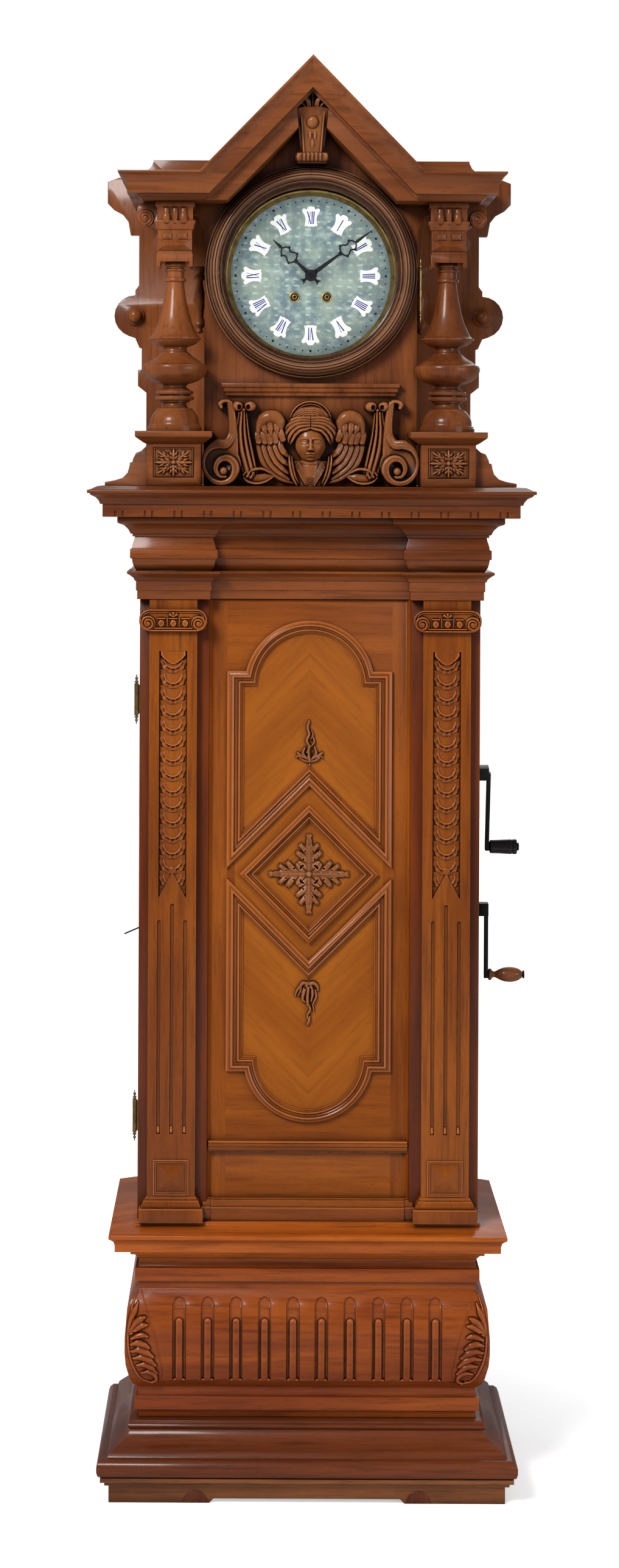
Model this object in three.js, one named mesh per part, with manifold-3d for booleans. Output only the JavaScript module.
// A tall case clock: moulded plinth, swelling base, long trunk with a full-width door,
// and a hood with turned columns, a gable and a round glazed door before the dial.
// Millimetres; x runs to the right, y towards the wall, z up; the origin is on the floor,
// in the middle of the clock's bounding box.
import * as THREE from "three";
import { mergeVertices } from "three/addons/utils/BufferGeometryUtils.js";
import Module from "manifold-3d";

const wasm = await Module();
wasm.setup();

// Overall case
const trunkHalfWidth = 294;
const frontSetback = 169; // a moulding of half-width w has its front at frontSetback - w
const backFace = 211;
const board = 20; // thickness of the case's side and back boards
const seat = 0.3; // gap between two pieces that touch
const overrun = 5; // how far a cutter runs past the face it cuts
const mergeStep = 0.001;
const arcSteps = 10;
const fineSteps = 4; // on small curves
const fewSides = 12; // on small turned pieces
const mostSides = 18; // on larger ones
const roundSides = 36; // on the dial and its door

// Heights of the case's storeys, from the floor up
const footHeight = 46;
const plinthHeight = 85;
const baseHeight = 273;
const ledgeHeight = 63;
const trunkHeight = 1070.4;
const entablatureHeight = 142;
const shelfHeight = 52.3;
const footTop = footHeight;
const plinthTop = footTop + plinthHeight;
const baseTop = plinthTop + baseHeight;
const ledgeTop = baseTop + ledgeHeight;
const trunkTop = ledgeTop + trunkHeight;
const entablatureTop = trunkTop + entablatureHeight;
const shelfTop = entablatureTop + shelfHeight;

// Sizes of a piece, with the named ones measured from the storey or the side that carries it
const measuredFrom = (level, keys, sizes) => ({
  ...sizes,
  ...Object.fromEntries(keys.map((key) => [key, level + sizes[key]])),
});

// Half-widths that the mouldings run between
const neckHalfWidth = 290;
const torusHalfWidth = 358;
const bombeHalfWidth = 313;
const ledgeHalfWidth = 340;
const architraveHalfWidth = 298;
const ovoloHalfWidth = 331;
const shelfHalfWidth = 380;
const hollowHalfWidth = 262; // inside of the base, the ledge and the entablature
const hollowFront = -70;

const walnut = { color: 0x8a5427, roughness: 0.45, metalness: 0 };
const darkWalnut = { color: 0x64371e, roughness: 0.42, metalness: 0 };
const redWalnut = { color: 0x74391c, roughness: 0.42, metalness: 0 };
const carvedWalnut = { color: 0x7a4826, roughness: 0.4, metalness: 0 };
const pine = { color: 0xa98258, roughness: 0.8, metalness: 0 };
const brass = { color: 0xb08d45, roughness: 0.3, metalness: 1 };
const iron = { color: 0x17171a, roughness: 0.5, metalness: 0.8 };
const dialTin = { color: 0x8b9ea0, roughness: 0.5, metalness: 0.2 };
const clearGlass = { color: 0xe6f0f0, roughness: 0.05, metalness: 0, transparent: true, opacity: 0.25 };

const clock = new THREE.Group();

// A closed geometry as a solid that can be joined and cut, with its faces turned outwards.
function toSolid(geometry) {
  const bare = new THREE.BufferGeometry();
  bare.setAttribute("position", geometry.getAttribute("position").clone());
  if (geometry.index) bare.setIndex(geometry.index.clone());
  const merged = mergeVertices(bare, mergeStep);
  const corners = merged.index.array;
  const faces = [];
  for (let i = 0; i < corners.length; i += 3) {
    const [a, b, c] = [corners[i], corners[i + 1], corners[i + 2]];
    if (a !== b && b !== c && a !== c) faces.push(a, b, c);
  }
  const build = (order) =>
    new wasm.Manifold(
      new wasm.Mesh({
        numProp: 3,
        vertProperties: merged.attributes.position.array,
        triVerts: new Uint32Array(order),
      }),
    );
  const made = build(faces);
  return made.volume() < 0 ? build(faces.reverse()) : made;
}

function toGeometry(solid) {
  const mesh = solid.getMesh();
  const geometry = new THREE.BufferGeometry();
  geometry.setAttribute("position", new THREE.BufferAttribute(mesh.vertProperties, mesh.numProp));
  geometry.setIndex(new THREE.BufferAttribute(mesh.triVerts, 1));
  geometry.computeVertexNormals();
  return geometry;
}

const join = (...solids) => solids.reduce((all, solid) => all.add(solid));
const cut = (solid, ...cutters) => cutters.reduce((rest, cutter) => rest.subtract(cutter), solid);
const moved = (solid, x, y, z) => solid.translate([x, y, z]);
const mirrored = (solid) => solid.mirror([1, 0, 0]);

function add(name, solid, finish, parent = clock) {
  const mesh = new THREE.Mesh(toGeometry(solid), new THREE.MeshStandardMaterial(finish));
  mesh.name = name;
  parent.add(mesh);
  return mesh;
}

function box([x0, x1], [y0, y1], [z0, z1]) {
  const geometry = new THREE.BoxGeometry(x1 - x0, y1 - y0, z1 - z0);
  geometry.translate((x0 + x1) / 2, (y0 + y1) / 2, (z0 + z1) / 2);
  return toSolid(geometry);
}

// An outline of [x, z] points, or a Shape drawn in x and z, made solid between y0 and y1.
function slab(outline, y0, y1, holes = []) {
  const drawn = (points) => points.map(([x, z]) => new THREE.Vector2(x, z));
  const shape = Array.isArray(outline) ? new THREE.Shape(drawn(outline)) : outline;
  holes.forEach((hole) => shape.holes.push(Array.isArray(hole) ? new THREE.Path(drawn(hole)) : hole));
  const geometry = new THREE.ExtrudeGeometry(shape, {
    depth: y1 - y0,
    bevelEnabled: false,
    curveSegments: arcSteps,
  });
  geometry.rotateX(Math.PI / 2);
  geometry.translate(0, y1, 0);
  return toSolid(geometry);
}

// A plan of [x, y] points made solid between two heights.
function plank(plan, z0, z1) {
  const shape = new THREE.Shape(plan.map(([x, y]) => new THREE.Vector2(x, y)));
  const geometry = new THREE.ExtrudeGeometry(shape, { depth: z1 - z0, bevelEnabled: false });
  geometry.translate(0, 0, z0);
  return toSolid(geometry);
}

// A turned piece: [radius, height] points, spun about z.
function turned(profile, sides = 24) {
  const points = profile.map(([radius, height]) => new THREE.Vector2(radius, height));
  const geometry = new THREE.LatheGeometry(points, sides);
  geometry.rotateX(Math.PI / 2);
  return toSolid(geometry);
}
// The same, spun about y (depth increases towards the wall) or about x.
const turnedDeep = (profile, sides) => turned(profile, sides).rotate([-90, 0, 0]);
const turnedWide = (profile, sides) => turned(profile, sides).rotate([0, 90, 0]);
const rod = (radius, from, to) => [
  [0, from],
  [radius, from],
  [radius, to],
  [0, to],
];

// A closed skin over level rings of points. Each ring runs along the front and comes back along
// the rear, so that its two caps are strips between the front points and the rear ones.
function skin(rings) {
  const count = rings[0].length;
  const faces = [];
  const quad = (a, b, c, d) => faces.push(a, b, c, a, c, d);
  const at = (ring, k) => ring * count + (k % count);
  for (let ring = 0; ring < rings.length - 1; ring++)
    for (let k = 0; k < count; k++)
      quad(at(ring, k), at(ring, k + 1), at(ring + 1, k + 1), at(ring + 1, k));
  const last = rings.length - 1;
  for (let k = 0; k < count / 2 - 1; k++) {
    quad(at(0, k + 1), at(0, k), at(0, count - 1 - k), at(0, count - 2 - k));
    quad(at(last, k), at(last, k + 1), at(last, count - 2 - k), at(last, count - 1 - k));
  }
  const geometry = new THREE.BufferGeometry();
  geometry.setAttribute("position", new THREE.Float32BufferAttribute(rings.flat(2), 3));
  geometry.setIndex(faces);
  return toSolid(geometry);
}

// Shares of a moulding's reach and height, made [half-width, height] levels.
const levelsOf = (shares, inner, outer, bottom, height) =>
  shares.map(([out, up]) => [inner + out * (outer - inner), bottom + up * height]);
const frontOf = (halfWidth) => frontSetback - halfWidth;

// A moulding that runs round the front and both sides of the case.
const caseMoulding = (levels, rear = backFace) =>
  skin(
    levels.map(([w, z]) => [
      [-w, frontOf(w), z],
      [w, frontOf(w), z],
      [w, rear, z],
      [-w, rear, z],
    ]),
  );

// A moulded block that stands free, the same on its four sides.
const post = (levels) =>
  skin(
    levels.map(([w, z]) => [
      [-w, -w, z],
      [w, -w, z],
      [w, w, z],
      [-w, w, z],
    ]),
  );

// Base: foot rail, plinth moulding, swelling body with reeded flutes, ledge

const footShares = [[0.706, 0], [0.706, 0.674], [0.809, 0.674], [0.809, 0.826], [0.912, 0.826], [0.912, 1]];
const plinthShares = [
  [0.882, 0], [0.971, 0.047], [1, 0.129], [1, 0.235], [0.956, 0.318], [0.868, 0.365], [0.75, 0.365],
  [0.721, 0.424], [0.588, 0.494], [0.412, 0.576], [0.279, 0.671], [0.191, 0.788], [0.235, 0.824],
  [0.265, 0.865], [0.235, 0.912], [0.191, 0.929], [0.191, 0.965], [0.029, 1],
];
const bombeShares = [
  [0, 0], [0, 0.049], [0.261, 0.049], [0.261, 0.131], [0, 0.131], [0, 0.19], [0.435, 0.22],
  [0.652, 0.26], [0.913, 0.344], [1, 0.421], [1, 0.516], [0.826, 0.7], [0.435, 0.758],
  [0.174, 0.784], [-0.043, 0.806], [-0.043, 0.859], [0.261, 0.859], [0.261, 0.94], [0.043, 0.94],
  [-0.087, 0.971], [0.043, 1],
];
const ledgeShares = [
  [0.02, 0], [0.14, 0.111], [0.28, 0.143], [0.28, 0.206], [0.56, 0.302], [0.8, 0.317], [0.8, 0.492],
  [0.84, 0.603], [0.96, 0.683], [1, 0.698], [1, 0.802], [0.2, 0.889], [0.12, 0.921], [0.12, 1],
];
const hollowBetween = (z0, z1) =>
  box([-hollowHalfWidth, hollowHalfWidth], [hollowFront, backFace - board], [z0, z1]);

const archHalfWidth = 159;
const archHeight = 7.5;
const archSlope = 12;
const footArch = slab(
  [
    [-archHalfWidth - archSlope, -overrun],
    [archHalfWidth + archSlope, -overrun],
    [archHalfWidth, archHeight],
    [-archHalfWidth, archHeight],
  ],
  frontOf(torusHalfWidth),
  hollowFront + overrun,
);
add(
  "foot_rail",
  cut(
    caseMoulding(levelsOf(footShares, neckHalfWidth, torusHalfWidth, 0, footHeight)),
    hollowBetween(-overrun, footTop + overrun),
    footArch,
  ),
  walnut,
);
add(
  "plinth_moulding",
  cut(
    caseMoulding(levelsOf(plinthShares, neckHalfWidth, torusHalfWidth, footTop + seat, plinthHeight - seat)),
    hollowBetween(footTop - overrun, plinthTop + overrun),
  ),
  walnut,
);

const fluteCount = 10;
const flutePitch = 48.8;
const fluteHalfWidth = 11.5;
const reedHalfWidth = 6.2;
const fluteDepth = 4;
const fluteFoot = 67; // above the plinth
const fluteHeight = 143;
const reedHeight = 108;
const fluteZoneShares = [0.15, 0.83];

// Points of an arc, and an upright strip with a round top from z0 to z1
const arcPoints = (x, z, radius, from, to, steps = arcSteps) =>
  Array.from({ length: steps + 1 }, (_, i) => {
    const angle = from + ((to - from) * i) / steps;
    return [x + radius * Math.cos(angle), z + radius * Math.sin(angle)];
  });
const roundTopped = (centre, halfWidth, z0, z1) => [
  [centre - halfWidth, z0],
  [centre + halfWidth, z0],
  ...arcPoints(centre, z1 - halfWidth, halfWidth, 0, Math.PI, fineSteps),
];
const bombeOuter = caseMoulding(
  levelsOf(bombeShares, neckHalfWidth, bombeHalfWidth, plinthTop + seat, baseHeight - seat),
);
const bombeCore = caseMoulding(
  levelsOf(
    bombeShares.filter(([out, up]) => up > fluteZoneShares[0] && up < fluteZoneShares[1]),
    neckHalfWidth - fluteDepth,
    bombeHalfWidth - fluteDepth,
    plinthTop + seat,
    baseHeight - seat,
  ),
);
const fluteCutters = Array.from({ length: fluteCount }, (_, i) => {
  const x = (i - (fluteCount - 1) / 2) * flutePitch;
  const foot = plinthTop + fluteFoot;
  const span = [frontOf(torusHalfWidth), frontOf(neckHalfWidth) + fluteDepth];
  return cut(
    slab(roundTopped(x, fluteHalfWidth, foot, foot + fluteHeight), ...span),
    slab(roundTopped(x, reedHalfWidth, foot, foot + reedHeight), span[0] - overrun, span[1] + overrun),
  );
});
add(
  "base_body",
  cut(join(cut(bombeOuter, ...fluteCutters), bombeCore), hollowBetween(plinthTop - overrun, baseTop + overrun)),
  walnut,
);

const floorThickness = 27;
add(
  "base_ledge",
  cut(
    caseMoulding(levelsOf(ledgeShares, neckHalfWidth, ledgeHalfWidth, baseTop + seat, ledgeHeight - seat)),
    hollowBetween(baseTop - overrun, ledgeTop - floorThickness),
  ),
  walnut,
);

// Trunk: two sides and a back between the ledge and the entablature

const doorFace = -108; // front of the door's stiles
const doorPanelFace = -95;
const doorBack = -80;
const trunkFront = doorBack + seat;
const trunkSpan = [ledgeTop + seat, trunkTop - seat];
const trunkBackFront = backFace - board;
add(
  "trunk_back",
  box([-trunkHalfWidth, trunkHalfWidth], [trunkBackFront, backFace], trunkSpan),
  pine,
);

// Cranks on the right-hand side, each on an arbor that turns a line drum inside
const cranks = {
  upper: measuredFrom(ledgeTop, ["z"], { y: 50, z: 755, arm: 140.6, tilt: 14.4, grip: "barrel" }),
  lower: measuredFrom(ledgeTop, ["z"], { y: -30, z: 525, arm: 114.4, tilt: 0, grip: "pear" }),
};
const arborRadius = 7;
const arborClearance = 0.3;
const arborHole = (crank, x0, x1) =>
  moved(turnedWide(rod(arborRadius + arborClearance, x0, x1)), 0, crank.y, crank.z);

// Wire lever on the left-hand side, which passes through a slot in the board
const lever = measuredFrom(ledgeTop, ["z"], { y: 40, z: 484.8, radius: 1.4, reach: 45, inside: 30, droop: 19.6, slotHeight: 26 });
const leverPivotX = -trunkHalfWidth + board / 2;

const rightSide = box([trunkHalfWidth - board, trunkHalfWidth], [trunkFront, trunkBackFront - seat], trunkSpan);
const leverSlot = box(
  [-trunkHalfWidth - overrun, -trunkHalfWidth + board + overrun],
  [lever.y - lever.radius - seat, lever.y + lever.radius + seat],
  [lever.z - lever.slotHeight / 2, lever.z + lever.slotHeight / 2],
);
add("trunk_left_side", cut(mirrored(rightSide), leverSlot), redWalnut);
add(
  "trunk_right_side",
  cut(
    rightSide,
    ...Object.values(cranks).map((crank) =>
      arborHole(crank, trunkHalfWidth - board - overrun, trunkHalfWidth + overrun),
    ),
  ),
  redWalnut,
);

// Entablature, whose ends break forward over the pilasters

const entablatureShares = [
  [0, 0], [0, 0.105], [0.061, 0.105], [0.061, 0.223], [0.121, 0.223], [0.182, 0.258], [0.364, 0.293],
  [0.515, 0.314], [0.515, 0.342], [0.03, 0.342], [0.182, 0.399], [0.242, 0.448], [0.273, 0.497],
  [0.364, 0.497], [0.364, 0.608], [0.273, 0.608], [0.242, 0.659], [0.152, 0.723], [0.121, 0.762],
  [0.242, 0.762], [0.242, 0.793], [0.333, 0.793], [0.455, 0.849], [0.667, 0.899], [0.97, 0.927],
  [1, 0.941], [1, 1],
];
const breakMirror = 470; // a break's inner edge is this less the moulding's half-width
const breakDepth = 27;
const brokenMoulding = (levels) =>
  skin(
    levels.map(([w, z]) => {
      const inner = breakMirror - w;
      const front = frontOf(w);
      const rear = backFace;
      return [
        [-w, front, z], [-inner, front, z], [-inner, front + breakDepth, z],
        [inner, front + breakDepth, z], [inner, front, z], [w, front, z],
        [w, rear, z], [inner, rear, z], [inner, rear, z],
        [-inner, rear, z], [-inner, rear, z], [-w, rear, z],
      ];
    }),
  );
add(
  "entablature",
  cut(
    brokenMoulding(
      levelsOf(entablatureShares, architraveHalfWidth, ovoloHalfWidth, trunkTop, entablatureHeight - seat),
    ),
    hollowBetween(trunkTop - overrun, entablatureTop + overrun),
  ),
  walnut,
);

// Cornice shelf: a board with paired notches in its fascia and a hole for the pendulum

const shelfShares = [
  [0.286, 0], [0.49, 0.006], [0.49, 0.424], [0.571, 0.424], [0.612, 0.528], [0.714, 0.642],
  [0.878, 0.719], [0.918, 0.776], [1, 0.786], [1, 0.883], [0.878, 0.91], [0.673, 1],
];
const fasciaShare = 0.49;
const fasciaHalfWidth = ovoloHalfWidth + fasciaShare * (shelfHalfWidth - ovoloHalfWidth);
const notch = { pairs: 14, pitch: 50.3, spacing: 12.4, width: 3, height: 11, depth: 2.5 };
const shelfHole = { halfWidth: 150, front: -15, rear: 180 };
const notchCutters = Array.from({ length: notch.pairs * 2 }, (_, i) => {
  const pair = (Math.floor(i / 2) - (notch.pairs - 1) / 2) * notch.pitch;
  const x = pair + ((i % 2) - 0.5) * notch.spacing;
  const front = frontOf(fasciaHalfWidth);
  return box(
    [x - notch.width / 2, x + notch.width / 2],
    [front - overrun, front + notch.depth],
    [entablatureTop - overrun, entablatureTop + notch.height],
  );
});
add(
  "cornice_shelf",
  cut(
    caseMoulding(levelsOf(shelfShares, ovoloHalfWidth, shelfHalfWidth, entablatureTop, shelfHeight)),
    ...notchCutters,
    box(
      [-shelfHole.halfWidth, shelfHole.halfWidth],
      [shelfHole.front, shelfHole.rear],
      [entablatureTop - overrun, shelfTop + overrun],
    ),
  ),
  walnut,
);

// Trunk door: a board with stiles, on two hinges at the left, and what is mounted on it

const trunkDoor = new THREE.Group();
clock.add(trunkDoor);
const doorHalfWidth = trunkHalfWidth - seat;
const stileInner = 175; // where the stile steps back to the panel
const stileStep = 8;
const doorSpan = [ledgeTop + 2 * seat, trunkTop - 2 * seat];
const doorPlan = [
  [-doorHalfWidth, doorBack],
  [-doorHalfWidth, doorFace],
  [-stileInner, doorFace],
  [-stileInner + stileStep, doorPanelFace],
  [stileInner - stileStep, doorPanelFace],
  [stileInner, doorFace],
  [doorHalfWidth, doorFace],
  [doorHalfWidth, doorBack],
];
const railMoulding = measuredFrom(ledgeTop, ["z0", "z1"], { z0: 115.8, z1: 134.7, halfWidth: 160, depth: 9 });
const baseMouldingHeight = 36;
const baseMouldingDepth = 14;
const railBlock = box(
  [-railMoulding.halfWidth, railMoulding.halfWidth],
  [doorPanelFace - railMoulding.depth, doorPanelFace + seat],
  [railMoulding.z0, railMoulding.z1],
);
const baseBlockShares = [[1, 0], [1, 0.45], [0.72, 0.6], [0.5, 0.8], [0.22, 1]];
const baseBlock = skin(
  baseBlockShares.map(([out, up]) => {
    const front = doorPanelFace - out * baseMouldingDepth;
    const z = doorSpan[0] + up * baseMouldingHeight;
    const w = stileInner - stileStep;
    return [[-w, front, z], [w, front, z], [w, doorPanelFace + seat, z], [-w, doorPanelFace + seat, z]];
  }),
);
add("door_board", join(plank(doorPlan, ...doorSpan), railBlock, baseBlock), walnut, trunkDoor);

// Pilasters
const pilasterInset = 58.5;
const pilaster = {
  centre: trunkHalfWidth - pilasterInset,
  halfWidth: 41,
  front: -126,
  baseHalfWidth: 55,
  baseFront: -136,
  baseHeight: 44,
  baseBlockShare: 0.54,
  capitalHeight: 55,
};
const pyramid = measuredFrom(ledgeTop, ["bottom"], { halfSize: 30.5, bottom: 46, rise: 8, border: 5, lip: 1 });
const flute = measuredFrom(ledgeTop, ["bottom", "sideTop", "middleTop"], { pitch: 22.5, halfWidth: 2.6, bottom: 151, sideTop: 519, middleTop: 547, depth: 3.5 });
const scales = measuredFrom(ledgeTop, ["top", "bottom", "point", "ballZ"], {
  halfWidth: 24,
  top: 981.5,
  bottom: 609,
  count: 14,
  point: 555.6,
  depth: 7,
  rise: 5.5,
  reach: 28, // of one scale, tip to top
  ballZ: 601.7,
  ballRadius: 6,
});
const scroll = measuredFrom(ledgeTop, ["z0", "z1"], {
  z0: 1015.3,
  z1: 1053.7,
  halfWidth: 58.5,
  front: -137,
  volute: 12,
  rim: 2.4,
  cups: 3,
  cupRadius: 7,
  cupPitch: 16.8,
});
const pilasterBack = doorFace - seat;
const blockBand = (halfWidth, front, z0, z1) =>
  box([pilaster.centre - halfWidth, pilaster.centre + halfWidth], [front, pilasterBack], [z0, z1]);

function scaleCarving() {
  const pitch = (scales.top - scales.bottom) / scales.count;
  const floor = pilaster.front + scales.depth;
  return Array.from({ length: scales.count }, (_, i) => {
    const tip = scales.top - (i + 1) * pitch;
    const below = arcPoints(
      pilaster.centre,
      tip + scales.halfWidth,
      scales.halfWidth + seat,
      Math.PI,
      2 * Math.PI,
      fineSteps + 1,
    );
    const top = [
      [pilaster.centre + scales.halfWidth + seat, tip + scales.reach],
      [pilaster.centre - scales.halfWidth - seat, tip + scales.reach],
    ];
    const share = (i % 2) / 4;
    return slab([...below, ...top], floor - scales.rise * (1 - share), floor + seat);
  });
}

function pilasterSolid() {
  const { centre, front } = pilaster;
  const baseTopZ = doorSpan[0] + pilaster.baseHeight;
  const blockTop = doorSpan[0] + pilaster.baseHeight * pilaster.baseBlockShare;
  const shaft = blockBand(pilaster.halfWidth, front, blockTop, scroll.z0 + overrun);
  const channel = slab(
    [
      [centre - scales.halfWidth, scales.point],
      [centre, scales.ballZ],
      [centre + scales.halfWidth, scales.point],
      [centre + scales.halfWidth, scales.top],
      [centre - scales.halfWidth, scales.top],
    ],
    front - overrun,
    front + scales.depth,
  );
  const grooves = [-1, 0, 1].map((k) => {
    const top = k === 0 ? flute.middleTop : flute.sideTop;
    const outline = roundTopped(centre + k * flute.pitch, flute.halfWidth, flute.bottom, top);
    return slab(outline, front - overrun, front + flute.depth);
  });
  const steps = [[pilaster.baseHalfWidth, blockTop], [pilaster.halfWidth + seat, baseTopZ]];
  const foot = join(
    blockBand(pilaster.baseHalfWidth, pilaster.baseFront, doorSpan[0], blockTop),
    skin(
      steps.map(([w, z], i) => {
        const y = i === 0 ? pilaster.baseFront : front;
        return [[centre - w, y, z], [centre + w, y, z], [centre + w, pilasterBack, z], [centre - w, pilasterBack, z]];
      }),
    ),
  );
  const middle = pyramid.bottom + pyramid.halfSize;
  const faceted = (size, out) => [
    [centre - size, front - out, middle - size],
    [centre + size, front - out, middle - size],
    [centre + size, front - out, middle + size],
    [centre - size, front - out, middle + size],
  ];
  const tip = pyramid.border / 2;
  const stone = skin([
    faceted(pyramid.halfSize, -seat),
    faceted(pyramid.halfSize, pyramid.lip),
    faceted(tip, pyramid.rise),
  ]);
  const r = (scroll.z1 - scroll.z0) / 2;
  const capitalCentre = scroll.z0 + r;
  const capital = [1, -1].flatMap((side) =>
    arcPoints(
      centre + side * (scroll.halfWidth - r),
      capitalCentre,
      r,
      (-side * Math.PI) / 2,
      (-side * Math.PI) / 2 + Math.PI,
      fineSteps + 1,
    ),
  );
  const eyes = [-1, 1].map((side) =>
    moved(
      turnedDeep(
        [
          [0, 0], [scroll.volute, 0], [scroll.volute, -scroll.rim],
          [scroll.volute / 2, -scroll.volute / 2], [0, -scroll.volute / 2],
        ],
        fewSides,
      ),
      centre + side * (scroll.halfWidth - r),
      scroll.front + seat,
      capitalCentre,
    ),
  );
  const cups = Array.from({ length: scroll.cups }, (_, i) =>
    moved(
      turnedDeep(
        [
          [0, 0], [scroll.cupRadius, 0], [scroll.cupRadius / 2, -scroll.cupRadius / 2],
          [0, -scroll.cupRadius / 2],
        ],
        fewSides,
      ),
      centre + (i - (scroll.cups - 1) / 2) * scroll.cupPitch,
      scroll.front + seat,
      capitalCentre,
    ),
  );
  return join(
    cut(shaft, channel, ...grooves),
    ...scaleCarving(),
    moved(
      turnedDeep(
        [
          [0, scales.rise], [scales.ballRadius, scales.rise], [scales.ballRadius, 0],
          [0, -scales.ballRadius / 2],
        ],
        fewSides,
      ),
      centre,
      front + seat,
      scales.ballZ + scales.ballRadius / 2,
    ),
    foot,
    stone,
    slab(capital, scroll.front, pilasterBack),
    ...eyes,
    ...cups,
    blockBand(pilaster.halfWidth, front, scroll.z1 - seat, doorSpan[1]),
  );
}
const rightPilaster = pilasterSolid();
add("left_pilaster", mirrored(rightPilaster), walnut, trunkDoor);
add("right_pilaster", rightPilaster, walnut, trunkDoor);

// Panel mouldings
const panelFrame = {
  outer: 142.7,
  inner: 113.3,
  archOuter: 112.7,
  archInner: 90.6,
  shoulder: 25.3, // outer shoulder above the arch's centre
  innerShoulder: 1, // inner shoulder below the arch's centre
  rise: 13,
  lowRise: 7,
  band: 7,
};
const panelBack = doorPanelFace - seat;

// An arched panel frame closed by a chevron: its arch is centred at archZ, and the chevron's band
// runs between the apexes holeApex and bandApex. It stands upright, or upside down with up at -1.
function panelFrameSolid(archZ, holeApex, bandApex, up) {
  const outline = (side, radius, shoulder, apex) => {
    const start = Math.asin(shoulder / radius);
    const steps = arcSteps + fineSteps;
    const arc = Array.from({ length: steps + 1 }, (_, i) => {
      const angle = start + ((Math.PI - 2 * start) * i) / steps;
      return [radius * Math.cos(angle), radius * Math.sin(angle)];
    });
    const points = [
      [0, apex], [side, apex - side], [side, shoulder], ...arc, [-side, shoulder], [-side, apex - side],
    ].map(([x, z]) => [x, archZ + up * z]);
    return up > 0 ? points : points.reverse();
  };
  const { outer, inner, archOuter, archInner, shoulder, innerShoulder, band } = panelFrame;
  const tier = (grow, rise) =>
    slab(
      outline(outer - grow, archOuter - grow, shoulder - grow, up * (bandApex - archZ) + grow * Math.SQRT2),
      panelBack - rise,
      panelBack,
      [
        outline(
          inner + grow / 2,
          archInner + grow / 2,
          grow / 2 - innerShoulder,
          up * (holeApex - archZ) - (grow / 2) * Math.SQRT2,
        ),
      ],
    );
  return join(tier(0, panelFrame.lowRise), tier(band, panelFrame.rise));
}
const diamond = measuredFrom(ledgeTop, ["z"], { z: 595, outer: 120, inner: 90.5, rise: 15, lowRise: 9, band: 9 });
const upperPanel = { gap: 32.7, vWidth: 36.9, archRise: 172.7 };
const lowerPanel = { gap: 29.6, vWidth: 32.6, archRise: 166.4 };
const panelFrameAt = ({ gap, vWidth, archRise }, up) => {
  const bandApex = diamond.z + up * (diamond.outer + gap);
  return panelFrameSolid(bandApex + up * archRise, bandApex + up * vWidth, bandApex, up);
};
add(
  "upper_panel_frame",
  panelFrameAt(upperPanel, 1),
  walnut,
  trunkDoor,
);
add(
  "lower_panel_frame",
  panelFrameAt(lowerPanel, -1),
  walnut,
  trunkDoor,
);

const rhombus = (half) => [[half, diamond.z], [0, diamond.z + half], [-half, diamond.z], [0, diamond.z - half]];
add(
  "diamond_frame",
  join(
    slab(rhombus(diamond.outer), panelBack - diamond.lowRise, panelBack, [rhombus(diamond.inner)]),
    slab(
      rhombus(diamond.outer - diamond.band),
      panelBack - diamond.rise,
      panelBack,
      [rhombus(diamond.inner + diamond.band / 2)],
    ),
  ),
  walnut,
  trunkDoor,
);

// Rosette of four lobed leaves about a button
const rosette = { reach: 66, widthShare: 0.62, leafThickness: 5, buttonRadius: 8, buttonRise: 9 };
const leafShares = [
  [0.1, 0.1], [0.32, 0.16], [0.42, 0.36], [0.56, 0.3], [0.6, 0.42], [0.72, 0.3], [0.78, 0.2], [0.84, 0.16],
  [1, 0],
];
const leafOutline = leafShares.concat(
  leafShares.slice(0, -1).reverse().map(([along, across]) => [along, -across]),
);
const leaves = [0, 1, 2, 3].map((quarter) => {
  const turn = (quarter * Math.PI) / 2;
  return slab(
    [[0, 0], ...leafOutline.map(([along, across]) => [along, across * rosette.widthShare]).reverse()].map(([along, across]) => [
      rosette.reach * (along * Math.cos(turn) - across * Math.sin(turn)),
      diamond.z + rosette.reach * (along * Math.sin(turn) + across * Math.cos(turn)),
    ]),
    panelBack - rosette.leafThickness,
    panelBack,
  );
});
add(
  "rosette",
  join(
    ...leaves,
    moved(
      turnedDeep([[0, 0], [rosette.buttonRadius, 0], [rosette.buttonRadius, -rosette.leafThickness], [0, -rosette.buttonRise]], 16),
      0,
      panelBack,
      diamond.z,
    ),
  ),
  carvedWalnut,
  trunkDoor,
);

// Flame above the diamond and drop below it, as shares of half-width and height
const flameShares = [
  [-0.25, 0], [0.25, 0], [0.55, 0.1], [1, 0.22], [0.75, 0.4], [0.4, 0.45], [0.45, 0.62], [0.2, 0.8],
  [-0.1, 1], [-0.2, 0.75], [-0.35, 0.5], [-0.8, 0.42], [-1, 0.22], [-0.55, 0.1],
];
const dropShares = [
  [-0.6, 1], [-0.15, 0.85], [0.3, 1], [0.9, 0.9], [1, 0.65], [0.55, 0.5], [0.35, 0.3], [0.45, 0.12],
  [0.1, 0], [-0.2, 0.15], [-0.25, 0.4], [-0.75, 0.55], [-1, 0.8],
];
const flame = measuredFrom(ledgeTop, ["z0"], { halfWidth: 23.5, z0: 786.6, height: 78, thickness: 6 });
const drop = measuredFrom(ledgeTop, ["z0"], { halfWidth: 20.5, z0: 332.7, height: 78, thickness: 6 });
const ornament = (shares, size) =>
  slab(
    shares.map(([across, up]) => [across * size.halfWidth, size.z0 + up * size.height]),
    panelBack - size.thickness,
    panelBack,
  );
add("flame_finial", ornament(flameShares, flame), carvedWalnut, trunkDoor);
add("drop_ornament", ornament(dropShares, drop), carvedWalnut, trunkDoor);

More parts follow.
